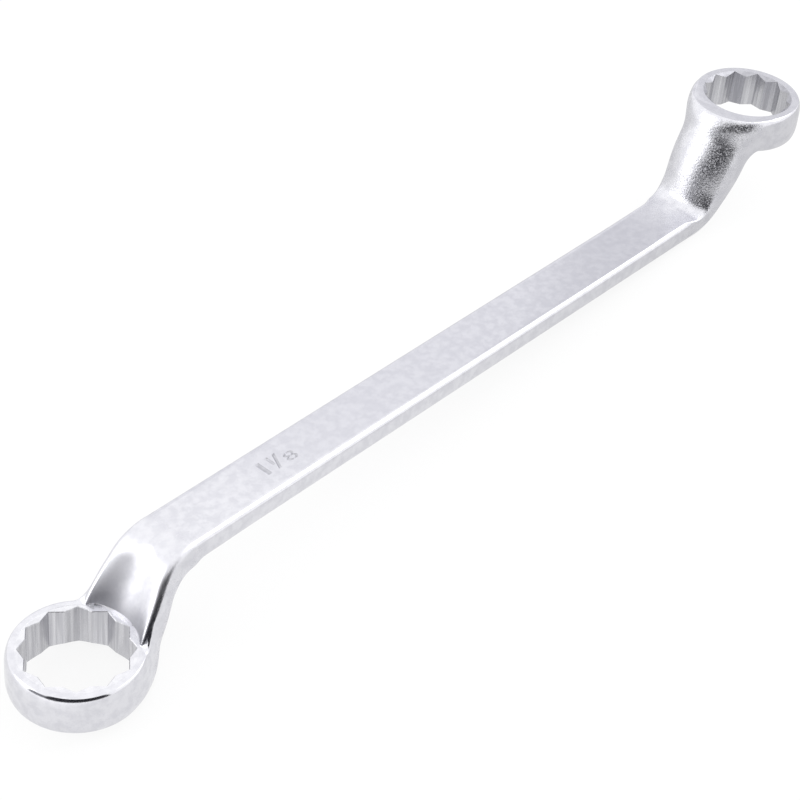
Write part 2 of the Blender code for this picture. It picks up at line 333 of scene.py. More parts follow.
@dataclass(frozen=True)
class Counts:
    """How finely the skin is cut: sections on each stretch, and points round half of one."""

    shank: int = 6
    swell: int = 12
    bend: int = 26
    neck: int = 30
    fan: int = 64
    ring: int = 96
    half_loop: int = 90
    survey: int = 300
    search: int = 48
    halvings: int = 26


@dataclass(frozen=True)
class Rays:
    """Rays in the section planes: each section's root, its upward direction, and angles above its width."""

    roots: Array
    ups: Array
    angles: Array

    def reached(self, reach: Array | float) -> tuple[Array, Array, Array]:
        """Follows the rays out to a reach.

        Args:
            reach: how far out, for each ray or for all.

        Returns:
            The points there, as u, y and v.
        """
        rise = reach * np.sin(self.angles)
        u, v = (self.roots[:, axis, None] + rise * self.ups[:, axis, None] for axis in (0, 1))
        return u, reach * np.cos(self.angles), v


@dataclass(frozen=True)
class RingEnd:
    """One end of the forging: the ring, and the hollow that a socket's way leaves in the neck.

    The end is described by u, outwards along the shank from its middle, y, across it, and v, up on the
    near end and down on the far one, so that each ring lies at negative v.
    """

    name: str
    side: int
    nut: float
    drop: float
    height: float
    point_turn: float
    bar: Bar = Bar()
    nut_play: float = 0.00015
    nut_sides: int = 6
    wall: float = 0.0036
    edge_width: float = 0.0014
    edge_height: float = 0.0045
    neck_fillet: float = 0.0082
    fillet_start: float = 0.00005
    fillet_by_hollow: float = 0.0018
    fillet_top_loss: float = 0.5
    fillet_top_span: float = 0.01
    face_margin: float = 0.0006
    face_depth: float = 0.00003
    foot_depth: float = 0.00005
    hollow_setback: float = 0.0004
    hollow_round_share: float = 0.97
    hollow_start: float = 0.0028
    hollow_edge: float = 0.0016
    hollow_edge_run: float = 0.012
    edge_break: float = 0.0002
    mouth_margin: float = 0.0001
    mouth_angle: float = radians(35)
    mouth_depth: float = 0.0016
    overrun: float = 0.002
    face_sides: int = 180
    tip_angle: float = radians(1.2)
    rough_before_bend: float = 0.014
    rough_rise: float = 0.02
    rough_inner_share: float = 0.4
    pebble_before_bend: float = 0.006
    pebble_rise: float = 0.014
    side_fade: float = 0.004
    corner_pull: float = 0.003
    root_depth: float = 0.0052
    pivot_clearance: float = 0.002
    pivot_rise: float = 0.003

    @property
    def tip_radius(self) -> float:
        """From the bore's axis to the tip of a point."""
        return (self.nut + self.nut_play) / 2 / cos(pi / self.nut_sides)

    @property
    def corner_radius(self) -> float:
        """From the bore's axis to the inner corner between two points."""
        return (self.nut + self.nut_play) / 2 / cos(pi / self.nut_sides / 2)

    @property
    def radius(self) -> float:
        """The ring's outer radius."""
        return self.tip_radius + self.wall

    @property
    def face_radius(self) -> float:
        """Radius of the faced circle above the bore."""
        return self.tip_radius + self.face_margin

    @property
    def top(self) -> float:
        """Level of the ring's face on the shank's side."""
        return self.height / 2 - self.drop

    @property
    def foot(self) -> float:
        """Level of the ring's face away from the shank."""
        return -self.height / 2 - self.drop

    @property
    def centre(self) -> float:
        """The ring's axis, outwards from the shank's middle."""
        run = (self.drop + self.bar.exit_v) / tan(self.bar.bend_angle)
        return self.bar.exit_u + run + self.radius - self.bar.neck_bite

    def own_frame(self, u: Array, y: Array, v: Array) -> Array:
        """Points of the spanner's own frame for points of this end."""
        return np.stack(np.broadcast_arrays(self.side * u, y, -self.side * v), axis=-1)

    def end_frame(self, points: Array) -> tuple[Array, Array, Array]:
        """This end's u, y and v for points of the spanner's own frame."""
        return self.side * points[:, 0], points[:, 1], -self.side * points[:, 2]

    def inside_hollow(self, u: Array, y: Array, v: Array) -> tuple[Array, Array]:
        """The round hollow up the neck's outer side, which follows the bar from nothing to the bore's edge.

        Its floor lies below the outer side by an even taper, times the way from the hollow's start. The
        taper makes it meet the ring's face at the faced circle, and the radius makes it follow that circle.

        Args:
            u, y, v: outwards along the shank, across it, and up.

        Returns:
            Depth inside the hollow, and how wide its rounded edge is there.
        """
        lip_u = self.centre - self.face_radius + self.hollow_setback
        lip_height, lip_way = self.bar.along(lip_u, self.top)
        taper = (self.bar.outer(lip_way) - lip_height) / (lip_way - self.hollow_start)
        sine, cosine = sin(self.bar.bend_angle), cos(self.bar.bend_angle)
        radius = self.hollow_round_share * self.face_radius / (sine + taper * cosine)
        height, way = self.bar.along(u, v)
        floor = self.bar.outer(way) - taper * (way - self.hollow_start)
        edge = self.hollow_edge * ramp((way - self.hollow_start) / self.hollow_edge_run)
        return radius - np.hypot(height - floor - radius, y), edge + SMALLEST

    def edged(self, past_wall: Array, past_face: Array) -> Array:
        """Joins a wall and a face by the ring's edge, which is a quarter ellipse.

        At the edge the ellipse's own measure is divided by how fast it grows there, so that the distance
        runs on evenly from the flats.

        Args:
            past_wall: distance outside the wall.
            past_face: distance outside the face.

        Returns:
            The distance outside both, negative inside.
        """
        into_width = past_wall / self.edge_width + 1
        into_height = past_face / self.edge_height + 1
        measure = np.hypot(into_width, into_height)
        growth = np.hypot(into_width / self.edge_width, into_height / self.edge_height)
        edge = (measure - 1) * measure / np.maximum(growth, SMALLEST)
        return np.where((into_width > 0) & (into_height > 0), edge, np.maximum(past_wall, past_face))

    def skin_distance(self, u: Array, y: Array, v: Array) -> Array:
        """How far outside the forging's skin a point lies: negative inside, zero on the skin.

        The bar less the hollow is joined to the ring by a fillet, which fades away towards the faced
        circle and the hollow, and shrinks towards the ring's face on the shank's side. The far face cuts
        both off, with one edge round ring and neck.

        Args:
            u, y, v: outwards along the shank, across it, and up.

        Returns:
            The distance.
        """
        hollow, hollow_edge = self.inside_hollow(u, y, v)
        bar = soft_max(self.bar.distance(u, y, v), hollow, hollow_edge)
        from_axis = np.hypot(u - self.centre, y)
        ring = self.edged(from_axis - self.radius, v - self.top)
        kept = ramp((from_axis - self.face_radius) / (self.radius - self.face_radius))
        kept = kept * ramp(-hollow / self.fillet_by_hollow)
        kept = kept * (1 - self.fillet_top_loss * ramp((v - self.top) / self.fillet_top_span + 1))
        fillet = self.fillet_start + (self.neck_fillet - self.fillet_start) * kept
        return self.edged(soft_min(bar, ring, fillet), self.foot - v)

    def section_planes(self, counts: Counts) -> tuple[Array, Array]:
        """Where the skin is cut from the shank's middle to the ring's tip.

        The planes stand square to the shank, fan round the bend, stand square to the neck, fan back about
        a line just outside the neck's foot, and stand upright through the ring.

        Args:
            counts: how many sections each stretch has.

        Returns:
            Each plane's root point and its upward direction, in u and v.
        """
        bar, angle = self.bar, self.bar.bend_angle
        sine, cosine = sin(angle), cos(angle)
        swell_start = bar.bend_start - bar.swell_before_bend
        shank = np.linspace(0, swell_start, counts.shank, endpoint=False)
        swell = np.linspace(swell_start, bar.bend_start, counts.swell, endpoint=False)
        straight = np.concatenate([shank, swell])
        bend = np.linspace(0, angle, counts.bend, endpoint=False)

        pivot_height = bar.neck_outer + self.pivot_clearance
        pivot_v = self.top + self.pivot_rise
        pivot_u = bar.exit_u + (pivot_height - (pivot_v - bar.exit_v) * cosine) / sine
        pivot_way = (pivot_u - bar.exit_u) * cosine - (pivot_v - bar.exit_v) * sine
        neck = np.linspace(0, pivot_way, counts.neck, endpoint=False)
        fan = np.linspace(angle, 0, counts.fan, endpoint=False)
        round_ring = asin((pivot_u - self.centre) / self.radius), pi / 2 - self.tip_angle
        ring = self.centre + self.radius * np.sin(np.linspace(*round_ring, counts.ring))

        lean = np.concatenate([0 * straight, bend, 0 * neck + angle, fan, 0 * ring])
        up = np.stack([np.sin(lean), np.cos(lean)], axis=-1)
        bend_u = bar.bend_start + bar.bend_radius * np.sin(bend)
        bend_v = bar.bend_radius * (np.cos(bend) - 1)
        middle_u = np.concatenate([straight, bend_u, bar.exit_u + neck * cosine])
        middle_v = np.concatenate([0 * straight, bend_v, bar.exit_v - neck * sine])
        way = np.concatenate([straight - bar.bend_start, bar.bend_radius * bend, bar.bend_length + neck])
        sink = self.root_depth * bar.swelling(way)
        bar_roots = np.stack([middle_u, middle_v], axis=-1) - sink[:, None] * up[: len(way)]

        below_pivot = np.linspace(pivot_height + sink[-1], pivot_v + self.drop, counts.fan, endpoint=False)
        fan_up = up[len(way) : len(way) + counts.fan]
        fan_roots = np.array([pivot_u, pivot_v]) - below_pivot[:, None] * fan_up
        ring_roots = np.stack([ring, 0 * ring - self.drop], axis=-1)
        return np.concatenate([bar_roots, fan_roots, ring_roots]), up

    def cast(self, rays: Rays, counts: Counts) -> Array:
        """Finds the skin along rays: the first step outside, then halvings.

        Args:
            rays: the rays.
            counts: how many steps and halvings.

        Returns:
            Distance from root to skin for each ray.
        """
        step = 2 * self.radius / counts.search
        low = np.zeros(rays.angles.shape)
        found = np.zeros(rays.angles.shape, bool)
        for count in range(1, counts.search + 1):
            found |= self.skin_distance(*rays.reached(count * step)) > 0
            low = np.where(found, low, count * step)
        high = low + step
        for _ in range(counts.halvings):
            middle = (low + high) / 2
            beyond = self.skin_distance(*rays.reached(middle)) > 0
            low, high = np.where(beyond, low, middle), np.where(beyond, middle, high)
        return (low + high) / 2

    def even_angles(self, reach: Array, angles: Array, count: int) -> Array:
        """Shares each section's outline out evenly by its length and by how much it turns.

        Args:
            reach: distance to the skin along the survey's rays.
            angles: those rays' angles.
            count: how many rays are wanted.

        Returns:
            Angles of the wanted rays, one row to a section.
        """
        across, along = reach * np.cos(angles), reach * np.sin(angles)
        edge = np.stack([np.diff(across, axis=1), np.diff(along, axis=1)], axis=-1)
        length = np.hypot(edge[..., 0], edge[..., 1])
        heading = np.unwrap(np.arctan2(edge[..., 1], edge[..., 0]), axis=1)
        turn = np.abs(np.diff(heading, axis=1)) / 2
        turned = np.pad(turn, ((0, 0), (0, 1))) + np.pad(turn, ((0, 0), (1, 0)))
        measure = np.cumsum(length + self.corner_pull * turned, axis=1)
        measure = np.pad(measure, ((0, 0), (1, 0)))
        shares = np.linspace(0, 1, count)
        return np.stack([np.interp(shares * row[-1], row, angle) for row, angle in zip(measure, angles)])

    def loops(self, counts: Counts) -> Array:
        """Cuts the end's skin into closed loops of points, one to a section.

        Args:
            counts: how finely it is cut.

        Returns:
            The loops, in the spanner's own frame.
        """
        roots, ups = self.section_planes(counts)
        survey = np.linspace(-pi / 2, pi / 2, counts.survey)
        survey = Rays(roots, ups, np.broadcast_to(survey, (len(roots), counts.survey)))
        angles = self.even_angles(self.cast(survey, counts), survey.angles, counts.half_loop)
        rays = Rays(roots, ups, angles)
        u, y, v = rays.reached(self.cast(rays, counts))
        y[:, [0, -1]] = 0
        right = self.own_frame(u, y, v)[:, :: -self.side]
        left = right[:, -2:0:-1] * np.array([1, -1, 1])
        return np.concatenate([right, left], axis=1)

    def tip(self) -> Array:
        """The outermost point of the ring."""
        return self.own_frame(self.centre + self.radius, 0.0, -self.drop)

    def normals(self, points: Array, step: float = 0.00004) -> Array:
        """Unit normals of the skin: the slope of its distance formula, by differences to both sides.

        Args:
            points: points of the skin in the spanner's own frame.
            step: half the way over which the difference is taken.

        Returns:
            A unit normal for each point, in the spanner's own frame.
        """
        u, y, v = self.end_frame(points)
        shifts = np.eye(3) * step
        slope = [
            self.skin_distance(u + du, y + dy, v + dv) - self.skin_distance(u - du, y - dy, v - dv)
            for du, dy, dv in shifts
        ]
        normal = self.own_frame(*slope)
        return normal / np.linalg.norm(normal, axis=1, keepdims=True)

    def left_over(self, points: Array) -> dict[str, Array]:
        """What the polishing left, 0 to 1: of the forging's roughness, and of its blasted pebbles.

        The roughness is left on the whole neck, most of it along the middle of the outer side. The pebbles
        are left on the inner side. Both fade out over the ring.

        Args:
            points: points of the skin in the spanner's own frame.

        Returns:
            The share left at each point, by the name of its map.
        """
        u, y, v = self.end_frame(points)
        height, way = self.bar.along(u, v)
        before_ring = ramp((self.centre - u) / self.radius)
        on_inner = ramp(0.5 - height / self.side_fade)
        in_middle = ramp((self.bar.neck_width / 2 - np.abs(y)) / self.side_fade)
        rough = ramp((way + self.rough_before_bend) / self.rough_rise) * before_ring
        pebbled = ramp((way + self.pebble_before_bend) / self.pebble_rise) * before_ring
        rough = rough * (self.rough_inner_share * on_inner + (1 - on_inner) * in_middle)
        return {ROUGH_MAP: rough, PEBBLE_MAP: pebbled * on_inner}

    def cutters(self) -> list[tuple[Mesh, Finish]]:
        """Makes the end's cutters: the faced circle, the far face and its tapered mouth, and the bore.

        Returns:
            Each cutter with the finish that it leaves.
        """
        face, mouth = self.top - self.face_depth, self.foot + self.mouth_depth
        above, below = self.bar.thickness / 2 + self.overrun, self.foot - self.overrun
        slope = 1 / tan(self.mouth_angle)
        taper = [self.overrun * slope, -self.mouth_depth * slope]
        bore_levels = [below, face - self.edge_break, face, face + self.overrun]
        bore_flares = [0, 0, self.edge_break, self.edge_break]
        round_cuts = self.face_radius, self.radius + self.overrun, self.tip_radius + self.mouth_margin
        facing, footing, sink = (about_axis(np.full(self.face_sides, radius)) for radius in round_cuts)
        tips_and_corners = np.tile([self.tip_radius, self.corner_radius], 2 * self.nut_sides)
        star = about_axis(tips_and_corners, self.point_turn)
        shapes = [
            ("face", Finish.TURNED, facing, [face, above], [0, 0]),
            ("foot", Finish.TURNED, footing, [below, self.foot + self.foot_depth], [0, 0]),
            ("mouth", Finish.COUNTERSUNK, sink, [below, mouth], taper),
            ("bore", Finish.BROACHED, star, bore_levels, bore_flares),
        ]
        cutters = []
        for name, finish, profile, levels, flares in shapes:
            heights = -self.side * np.array(levels)
            order = np.argsort(heights)
            mesh = prism_mesh(f"{self.name}_{name}", profile, heights[order], np.array(flares)[order])
            mesh.transform(Matrix.Translation((self.side * self.centre, 0, 0)))
            cutters.append((mesh, finish))
        return cutters


def about_axis(radii: Array, start: float = 0) -> Array:
    """A closed profile about the axis, from the radii of its corners."""
    turn = start + np.arange(len(radii)) * 2 * pi / len(radii)
    return radii[:, None] * np.stack([np.cos(turn), np.sin(turn)], axis=-1)


def prism_mesh(name: str, profile: Array, levels: Array, flares: Array) -> Mesh:
    """Carries a closed profile along Z, flared outwards from its middle, and closes both ends.

    Args:
        name: the mesh's name.
        profile: the outline's points about the axis, in order, seen from above against the clock.
        levels: heights, lowest first.
        flares: how far each corner moves out at each level.

    Returns:
        The closed mesh.
    """
    reach = np.linalg.norm(profile, axis=1, keepdims=True)
    rings = profile[None] * (1 + flares[:, None, None] / reach[None])
    heights = np.broadcast_to(levels[:, None, None], (*rings.shape[:2], 1))
    points = np.concatenate([rings, heights], axis=-1)
    index = numbered(points)
    faces = [*grid_faces(index), index[0, -2::-1].tolist(), index[-1, :-1].tolist()]
    mesh = bpy.data.meshes.new(name)
    mesh.from_pydata(points.reshape(-1, 3).tolist(), [], faces)
    return mesh


@dataclass(frozen=True)
class SatinChrome:
    """Satin chrome plate over steel, a metal whose look follows how the steel under it was worked, but for
    painted shade in the darker tints of the countersunk mouth and the stamped mark.

    Patterns are fixed in the spanner's own frame: its X runs along the shank and its Z along the bores.
    Their sizes and depths are in millimetres.
    """

    name: str
    tint: str
    dark_tint: str
    roughness: float
    cloud_size: tuple[float, float, float] = (3, 3, 3)
    grain_size: tuple[float, float, float] = (0.5, 0.5, 0.5)
    grain_depth: float = 0.004
    ripple_size: float = 4
    ripple_depth: float = 0.01
    roughness_spread: float = 0.04
    rough_gain: float = 0.0
    pebble_gain: float = 0.0
    speckle_gain: float = 0.0
    tone_gain: float = 0.0
    cloud_detail: int = 4
    grain_detail: int = 3
    ripple_detail: int = 2
    detail_share: float = 0.6
    cloud_band: tuple[float, float] = (0.35, 0.65)
    gloss_band: tuple[float, float] = (0.3, 0.7)
    dot_band: tuple[float, float] = (0.52, 0.68)

    def pattern(self, tree: NodeTree, own: NodeSocket, size: tuple, detail: int) -> NodeSocket:
        """Adds noise with blots of a real size.

        Args:
            tree: the material's nodes.
            own: places in the spanner's own frame.
            size: the blots' size along each axis.
            detail: how many finer layers it has.

        Returns:
            The noise, from 0 to 1.
        """
        inputs = {"Vector": own, "Scale": tuple(1 / (length * MILLIMETRE) for length in size)}
        scaled = add_node(tree, "Mapping", inputs, vector_type="POINT")["Vector"]
        inputs = {"Vector": scaled, "Scale": 1, "Detail": detail, "Roughness": self.detail_share}
        return add_node(tree, "TexNoise", inputs)["Fac"]

    def mapped(self, tree: NodeTree, name: str, start: float, gain: float) -> NodeSocket:
        """A value that starts at one figure and grows by another with one of the mesh's maps."""
        share = add_node(tree, "Attribute", attribute_name=name)["Fac"]
        return add_node(tree, "MapRange", between(share, (0, 1), (start, start + gain)))["Result"]

    def material(self, lie: Lie) -> Material:
        """Builds the finish: clouded colour and gloss, a fine grain, and a longer ripple under it.

        Args:
            lie: how the spanner lies, which turns the patterns with it.

        Returns:
            The material.
        """
        material = bpy.data.materials.new(self.name)
        material.use_nodes = True
        tree = material.node_tree
        shader = tree.nodes["Principled BSDF"]
        place = add_node(tree, "TexCoord")["Object"]
        inputs = {"Vector": place, "Location": lie.origin, "Rotation": (0, lie.lean, 0)}
        own = add_node(tree, "Mapping", inputs, vector_type="TEXTURE")["Vector"]
        cloud = self.pattern(tree, own, self.cloud_size, self.cloud_detail)
        grain = self.pattern(tree, own, self.grain_size, self.grain_detail)

        mixed = add_node(tree, "MapRange", between(cloud, self.cloud_band), interpolation_type=SMOOTH)
        inputs = {"Factor": mixed["Result"], 6: colour(self.dark_tint), 7: colour(self.tint)}
        tint = add_node(tree, "Mix", inputs, data_type="RGBA")[2]
        inputs = {0: tint, "Scale": self.mapped(tree, TONE_MAP, 1, -self.tone_gain)}
        toned = add_node(tree, "VectorMath", inputs, operation="SCALE")["Vector"]

        ends = (self.roughness + self.roughness_spread, self.roughness - self.roughness_spread)
        gloss = add_node(tree, "MapRange", between(cloud, self.gloss_band, ends))["Result"]
        inputs = {0: gloss, 1: self.mapped(tree, ROUGH_MAP, 0, self.rough_gain)}
        roughened = add_node(tree, "Math", inputs, operation="ADD")[0]
        dots = add_node(tree, "MapRange", between(grain, self.dot_band), interpolation_type=SMOOTH)
        inputs = {0: dots["Result"], 1: self.mapped(tree, PEBBLE_MAP, 0, self.speckle_gain), 2: roughened}
        speckled = add_node(tree, "Math", inputs, operation="MULTIPLY_ADD")[0]

        inputs = {"Vector": own, "Scale": 1 / (self.ripple_size * MILLIMETRE), "Detail": self.ripple_detail}
        ripple = add_node(tree, "TexNoise", inputs)["Fac"]
        inputs = {"Height": ripple, "Distance": self.ripple_depth * MILLIMETRE, "Strength": 1}
        waved = add_node(tree, "Bump", inputs)["Normal"]
        depth = self.mapped(tree, PEBBLE_MAP, self.grain_depth * MILLIMETRE, self.pebble_gain * MILLIMETRE)
        inputs = {"Height": grain, "Distance": depth, "Strength": 1, "Normal": waved}
        bumped = add_node(tree, "Bump", inputs)["Normal"]

        shader.inputs["Metallic"].default_value = 1
        for socket, output in (("Base Color", toned), ("Roughness", speckled), ("Normal", bumped)):
            tree.links.new(output, shader.inputs[socket])
        return material


# Forged, ground and tumbled before plating: crisp reflections on the polished walls and edges, soft ones
# along the necks, where the wheel didn't reach, and crisp pebbles on their inner sides
FORGED = SatinChrome(
    "satin_chrome_on_forging",
    tint="#E4E4E9",
    dark_tint="#DADAE0",
    roughness=0.15,
    roughness_spread=0.03,
    grain_size=(0.55, 0.55, 0.55),
    ripple_size=5,
    ripple_depth=0.02,
    rough_gain=0.24,
    pebble_gain=0.1,
    speckle_gain=0.4,
)

# Turned on a lathe before plating: brighter and smoother than the forged skin
TURNED = SatinChrome("satin_chrome_on_turned_face", tint="#EAEAEE", dark_tint="#E0E0E5", roughness=0.22)

# Countersunk with a broad cutter that chatters: the cone is rougher than the faces round it, and its darker
# tint is painted shade, which dims the lamps' reflection in the cone
COUNTERSUNK = SatinChrome(
    "satin_chrome_on_countersunk_mouth",
    tint="#BCBCC2",
    dark_tint="#B0B0B6",
    roughness=0.5,
    cloud_size=(2, 2, 2),
    grain_depth=0.008,
)

# Broached along the bore's axis: fine streaks up each flat, and a thinner, greyer plate
BROACHED = SatinChrome(
    "satin_chrome_on_broached_bore",
    tint="#E2E2E6",
    dark_tint="#C8C8CD",
    roughness=0.28,
    roughness_spread=0.05,
    cloud_size=(0.9, 0.9, 30),
    grain_size=(0.35, 0.35, 14),
    grain_depth=0.012,
    ripple_size=6,
    tone_gain=0.2,
)

# Struck with a number punch before plating: a little rougher in the mark, and its darker tint is painted
# shade in the mark's recess, which deepens the shade on its walls
STAMPED = SatinChrome(
    "satin_chrome_in_stamped_mark",
    tint="#CBCBD1",
    dark_tint="#BBBBC1",
    roughness=0.2,
    cloud_size=(2, 2, 2),
    grain_size=(0.4, 0.4, 0.4),
    grain_depth=0.006,
    ripple_size=3,
)

FINISHES = dict(zip(Finish, (FORGED, TURNED, COUNTERSUNK, BROACHED, STAMPED)))


@dataclass(frozen=True)
class SizeNumber:
    """A ring's size in inches, struck into the shank: a whole number and a small raised fraction.

    It reads along +X on the top of the shank, and along -X on the underside, seen from below.
    """

    name: str
    whole: str
    over: str
    under: str
    start: float
    baseline: float
    below: bool = False
    height: float = 0.0062
    small_height: float = 0.004
    over_start: float = 0.0052
    slash_start: float = 0.0071
    under_start: float = 0.0115
    stretch: float = 1.75
    floor_depth: float = 0.0001
    wall_slope: float = 0.0002
    thinning: float = 0.0002
    cap_share: float = 0.73
    curve_steps: int = 6

    def glyphs(self) -> list[tuple[str, float, float, float]]:
        """Lists the mark's signs.

        Returns:
            Each sign with its height, its left end and its baseline, from the mark's own corner.
        """
        return [
            (self.whole, self.height, 0.0, 0.0),
            (self.over, self.small_height, self.over_start, self.height - self.small_height),
            ("/", self.height, self.slash_start, 0.0),
            (self.under, self.small_height, self.under_start, 0.0),
        ]

    def punch(self, half_thickness: float) -> Mesh:
        """The whole mark as closed punches with sloping walls, which reach a little way into the shank.

        Args:
            half_thickness: from the shank's middle plane to the face that is struck.

        Returns:
            The punches' mesh, in the spanner's own frame.
        """
        mark = bmesh.new()
        for sign, height, x, y in self.glyphs():
            drawing = bpy.data.curves.new(self.name, "FONT")
            drawing.body = sign
            drawing.size = height / self.cap_share
            drawing.extrude = self.floor_depth
            drawing.bevel_depth = self.wall_slope
            drawing.bevel_resolution = 0
            drawing.offset = -self.thinning
            drawing.resolution_u = self.curve_steps
            letter = bpy.data.objects.new(self.name, drawing)
            outline = bpy.data.meshes.new_from_object(letter)
            outline.transform(Matrix.Diagonal((self.stretch, 1, 1, 1)))
            outline.transform(Matrix.Translation((self.start + x, self.baseline + y, half_thickness)))
            mark.from_mesh(outline)
            bpy.data.objects.remove(letter)
            bpy.data.meshes.remove(outline)
        bmesh.ops.remove_doubles(mark, verts=mark.verts, dist=WELD)
        bmesh.ops.recalc_face_normals(mark, faces=mark.faces)
        mesh = bpy.data.meshes.new(self.name)
        mark.to_mesh(mesh)
        mark.free()
        if self.below:
            mesh.transform(Matrix.Rotation(pi, 4, "Y"))
        return mesh


@dataclass(frozen=True)
class Forging:
    """The whole spanner: its skin, and what is cut out of it."""

    bar: Bar
    near: RingEnd
    far: RingEnd
    marks: tuple[SizeNumber, ...]
    counts: Counts = Counts()
    crease: float = radians(20)

    def skin(self) -> Mesh:
        """Joins the loops from the near tip to the far one, and closes them by a fan at each tip.

        Returns:
            The closed skin, in the spanner's own frame.
        """
        loops = np.concatenate([self.near.loops(self.counts)[::-1], self.far.loops(self.counts)[1:]])
        points = np.concatenate([loops.reshape(-1, 3), [self.near.tip(), self.far.tip()]])
        index = numbered(loops)
        near_tip = np.full(loops.shape[1], len(points) - 2)
        near_fan = np.stack([near_tip, index[0, 1:], index[0, :-1]], axis=-1)
        far_fan = np.stack([near_tip + 1, index[-1, :-1], index[-1, 1:]], axis=-1)
        mesh = bpy.data.meshes.new("forging_skin")
        mesh.from_pydata(points.tolist(), [], [*grid_faces(index), *near_fan.tolist(), *far_fan.tolist()])
        return mesh

    def cutters(self) -> list[tuple[Mesh, Finish]]:
        """Each cutter of the bores, the ring faces and the marks, with the finish that it leaves."""
        punches = [(mark.punch(self.bar.thickness / 2), Finish.STAMPED) for mark in self.marks]
        return self.near.cutters() + self.far.cutters() + punches

    def cut_out(self, skin: Mesh, materials: dict[Finish, Material]) -> Mesh:
        """Takes the cutters out of the skin, one after another.

        Args:
            skin: the closed skin.
            materials: the material of each finish.

        Returns:
            The cut mesh, with each cut face in its cutter's material.
        """
        skin.materials.append(materials[Finish.FORGED])
        blank = add_object("blank", skin)
        tools = []
        for mesh, finish in self.cutters():
            mesh.materials.append(materials[finish])
            tools.append(add_object(mesh.name, mesh))
            cut = blank.modifiers.new(mesh.name, "BOOLEAN")
            cut.operation = "DIFFERENCE"
            cut.solver = "EXACT"
            cut.material_mode = "TRANSFER"
            cut.object = tools[-1]
        graph = bpy.context.evaluated_depsgraph_get()
        made = bpy.data.meshes.new_from_object(blank.evaluated_get(graph))
        for used in (blank, *tools):
            bpy.data.objects.remove(used)
        return made

    def shade(self, mesh: Mesh, lie: Lie, forged_slot: int) -> None:
        """Gives the forged skin the true normals of its formula, and leaves the cut faces crisp.

        Where a forged face meets a cut one, the formula's rounded edges have been cut off, so the normal is
        taken from inside the face: from the point halfway from the corner to the face's middle.

        Args:
            mesh: the cut mesh, already laid down.
            lie: how it lies.
            forged_slot: the material slot of the forged skin.
        """
        mesh.shade_smooth()
        mesh.set_sharp_from_angle(angle=self.crease)
        normals = read_all(mesh.corner_normals, "vector", np.float32, 3).astype(float)
        points = lie.own_points(mesh)
        corner_point = read_all(mesh.loops, "vertex_index", np.int32)
        face_slot = read_all(mesh.polygons, "material_index", np.int32)
        face_corners = read_all(mesh.polygons, "loop_total", np.int32)
        corner_face = np.repeat(np.arange(len(face_corners)), face_corners)
        forged = (face_slot == forged_slot)[corner_face]
        at_cut = np.zeros(len(points), bool)
        at_cut[corner_point[~forged]] = True
        middles = np.zeros((len(face_corners), 3))
        np.add.at(middles, corner_face, points[corner_point])
        middles = middles / face_corners[:, None]
        inward = 0.5 * at_cut[corner_point, None] * (middles[corner_face] - points[corner_point])
        where = (points[corner_point] + inward)[forged]
        true_normals = np.where(where[:, :1] < 0, self.near.normals(where), self.far.normals(where))
        normals[forged] = true_normals @ lie.turn.T
        mesh.normals_split_custom_set(normals.tolist())

    def map_finish(self, mesh: Mesh, lie: Lie) -> None:
        """Stores how rough and how pebbled the forging was left at each point, and a tone for each facet.

        Args:
            mesh: the cut mesh, already laid down.
            lie: how it lies.
        """
        points = lie.own_points(mesh)
        near, far = self.near.left_over(points), self.far.left_over(points)
        for name in (ROUGH_MAP, PEBBLE_MAP):
            values = np.where(points[:, 0] < 0, near[name], far[name])
            mesh.attributes.new(name, "FLOAT", "POINT").data.foreach_set("value", values.astype(np.float32))
        facing = read_all(mesh.polygons, "normal", np.float32, 3) @ lie.turn
        facet = np.round(np.arctan2(facing[:, 1], facing[:, 0]) / FACET_TURN)
        tone = 0.5 + 0.5 * np.sin(facet * FACET_BEAT)
        mesh.attributes.new(TONE_MAP, "FLOAT", "FACE").data.foreach_set("value", tone.astype(np.float32))

    def build(self, lie: Lie) -> Object:
        """Makes the finished forging and lays it down.

        Args:
            lie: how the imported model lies.

        Returns:
            The finished piece.
        """
        materials = {finish: chrome.material(lie) for finish, chrome in FINISHES.items()}
        skin = self.skin()
        log.info("skin: %d points", len(skin.vertices))
        mesh = self.cut_out(skin, materials)
        mesh.name = "forged_spanner"
        mesh.transform(Matrix.LocRotScale(lie.origin, Euler((0, lie.lean, 0)), None))
        self.map_finish(mesh, lie)
        self.shade(mesh, lie, list(mesh.materials).index(materials[Finish.FORGED]))
        piece = add_object("forged_spanner", mesh)
        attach(piece, "root")
        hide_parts("spanner_body")
        log.info("forged_spanner: %d faces, %s", len(mesh.polygons), [slot.name for slot in mesh.materials])
        return piece


@dataclass(frozen=True)
class SoftBox:
    """A soft lamp that faces the spanner's middle. Its glow is as bright as a surface of that strength."""

    name: str
    azimuth: float
    elevation: float
    width: float
    height: float
    distance: float = 1.4
    strength: float = 1.8

    def build(self) -> None:
        """Hangs the lamp up, facing the spanner's middle."""
        lamp = bpy.data.lights.new(self.name, "AREA")
        lamp.shape = "RECTANGLE"
        lamp.size, lamp.size_y = self.width, self.height
        lamp.energy = self.strength * pi * self.width * self.height
        holder = add_object(self.name, lamp)
        turn, rise = radians(self.azimuth), radians(self.elevation)
        towards = Vector((cos(rise) * cos(turn), cos(rise) * sin(turn), sin(rise)))
        holder.location = self.distance * towards
        holder.rotation_euler = towards.to_track_quat("Z", "Y").to_euler()
        holder.visible_camera = False


